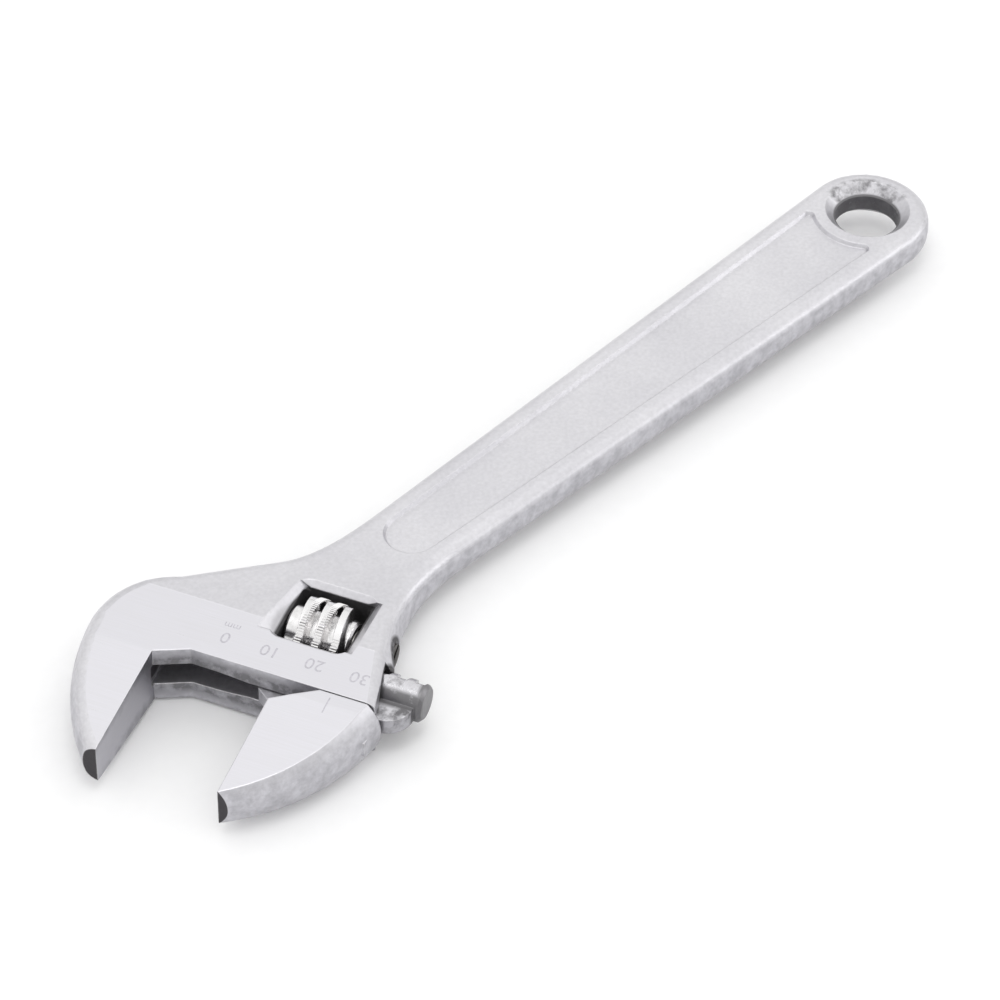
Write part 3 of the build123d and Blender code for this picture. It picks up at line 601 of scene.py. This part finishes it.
def textMesh(words, height, reach, slide, name):
    curve = bpy.data.curves.new(name, "FONT")
    curve.body = words
    curve.size = height / 0.7 * mm      # a numeral is about 0.7 of the font's size
    curve.align_x = "CENTER"
    curve.align_y = "CENTER"
    curve.extrude = (scale["proud"] + scale["sunk"]) / 2 * mm
    letter = linkPiece(name, curve)
    bpy.context.view_layer.update()
    graph = bpy.context.evaluated_depsgraph_get()
    data = bpy.data.meshes.new_from_object(letter.evaluated_get(graph))
    bpy.data.objects.remove(letter)
    place = headPoint(reach, slide, scale["topFace"] + (scale["proud"] - scale["sunk"]) / 2)
    turned = Matrix((-slideAxis, reachAxis, up)).transposed().to_4x4()
    data.transform(Matrix.Translation(place) @ turned)
    return data


def joinMeshes(meshes, name):
    joined = bmesh.new()
    for data in meshes:
        joined.from_mesh(data)
    bmesh.ops.remove_doubles(joined, verts=joined.verts, dist=0.002 * mm)
    bmesh.ops.recalc_face_normals(joined, faces=joined.faces)
    data = bpy.data.meshes.new(name)
    joined.to_mesh(data)
    joined.free()
    return linkPiece(name, data)


markMeshes = [
    textMesh(
        words, scale["height"], scale["rowReach"], scale["zeroSlide"] + index * scale["step"], "numeral")
    for index, words in enumerate(scale["numerals"])
]
markMeshes.append(textMesh("mm", scale["unitHeight"], scale["unitReach"], scale["zeroSlide"], "unit"))
scaleMarks = joinMeshes(markMeshes, "scale_numerals")
etched = finishMaterial("etchedPlate", etchedPlate, light="#D2D0D6", dark="#BDBBC1")
setMaterial(scaleMarks, etched)
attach(scaleMarks, "handle")


def makeTick(size):
    # a short line across the bend in the jaw's face, level behind it and falling in front
    mesh = bmesh.new()
    low, high = size["tickReach"]
    rings = []
    for reach in (low, 0.0, high):
        level = size["topFace"] - max(0.0, reach) * size["tipFall"]
        ring = []
        for side, lift in ((-1, -size["sunk"]), (1, -size["sunk"]), (1, size["proud"]), (-1, size["proud"])):
            ring.append(mesh.verts.new(headPoint(
                reach, size["tickSlide"] + side * size["tickWidth"] / 2, level + lift)))
        rings.append(ring)
    for first, second in zip(rings, rings[1:]):
        for index in range(4):
            after = (index + 1) % 4
            mesh.faces.new((first[index], first[after], second[after], second[index]))
    mesh.faces.new(rings[0])
    mesh.faces.new(rings[-1])
    bmesh.ops.recalc_face_normals(mesh, faces=mesh.faces)
    data = bpy.data.meshes.new("index_mark")
    mesh.to_mesh(data)
    mesh.free()
    return linkPiece("index_mark", data)


indexMark = makeTick(scale)
setMaterial(indexMark, etched)
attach(indexMark, "jaw")
print("scale marked")


studio = {
    "floorSize": 6.0,           # metres
    "floorDrop": 0.0002,
    "roomLight": ((0.0, 0.62), (0.25, 0.98), (0.7, 1.04), (1.0, 1.16)),     # height on the sky, strength
    "rimSoftbox": ((-0.9, 0.9, 0.35), 0.8, 0.3, 1.5),      # place, width, height, watts
    "topSoftbox": ((0.25, 0.1, 1.3), 0.5, 0.5, 2.0),
    "azimuth": 43.01,           # degrees, where the camera stands
    "elevation": 44.64,
    "roll": 1.41,
    "distance": 0.86509,
    "target": (0.12641, 0.00342, 0.0),
    "lens": 144,
}


def addFloor(size):
    data = bpy.data.meshes.new("floor")
    half = size["floorSize"] / 2
    level = cadBox[0][2] - size["floorDrop"]
    data.from_pydata(
        [(-half, -half, level), (half, -half, level), (half, half, level), (-half, half, level)],
        [], [(0, 1, 2, 3)],
    )
    floor = linkPiece("floor", data)
    setMaterial(floor, finishMaterial("whiteLaminate", laminateBoard, light="#FAFAFA", dark="#F6F6F6"))


def addLight(name, aim, place, width, height, power):
    lamp = bpy.data.lights.new(name, "AREA")
    lamp.shape = "RECTANGLE"
    lamp.size, lamp.size_y, lamp.energy = width, height, power
    light = linkPiece(name, lamp)
    light.location = place
    light.rotation_euler = (aim - Vector(place)).to_track_quat("-Z", "Y").to_euler()


def addCamera(size):
    azimuth, elevation, roll = (radians(size[k]) for k in ("azimuth", "elevation", "roll"))
    out = Vector((cos(elevation) * cos(azimuth), cos(elevation) * sin(azimuth), sin(elevation)))
    right = Vector((-sin(azimuth), cos(azimuth), 0))
    above = out.cross(right)
    turnedRight = right * cos(roll) + above * sin(roll)
    turnedUp = above * cos(roll) - right * sin(roll)
    data = bpy.data.cameras.new("camera")
    data.lens = size["lens"]
    data.sensor_width = 36
    data.clip_start = 0.01
    camera = linkPiece("camera", data)
    turn = Matrix((turnedRight, turnedUp, out)).transposed().to_4x4()
    camera.matrix_world = Matrix.Translation(Vector(size["target"]) + out * size["distance"]) @ turn
    bpy.context.scene.camera = camera


def addRoomLight(steps):
    # white all round, a little brighter overhead than at the horizon
    world = bpy.data.worlds.new("softRoom")
    world.use_nodes = True
    tree = world.node_tree
    tree.nodes.clear()
    direction = addNode(tree, "ShaderNodeTexCoord").outputs["Generated"]
    strength = addNode(tree, "ShaderNodeSeparateXYZ", {0: direction}).outputs["Z"]
    total = steps[0][1]
    for (low, before), (high, after) in zip(steps, steps[1:]):
        part = addNode(tree, "ShaderNodeMapRange", {
            "Value": strength, "From Min": low, "From Max": high, "To Max": after - before})
        total = addNode(tree, "ShaderNodeMath", {0: total, 1: part}, operation="ADD")
    background = addNode(tree, "ShaderNodeBackground", {"Color": (1.0, 1.0, 1.0, 1.0), "Strength": total})
    addNode(tree, "ShaderNodeOutputWorld", {"Surface": background.outputs[0]})
    bpy.context.scene.world = world


middle = Vector(studio["target"])
addFloor(studio)
addRoomLight(studio["roomLight"])
addCamera(studio)
for name in ("rimSoftbox", "topSoftbox"):
    addLight(name, middle, *studio[name])
bpy.context.scene.view_settings.view_transform = "Standard"
print("studio set")
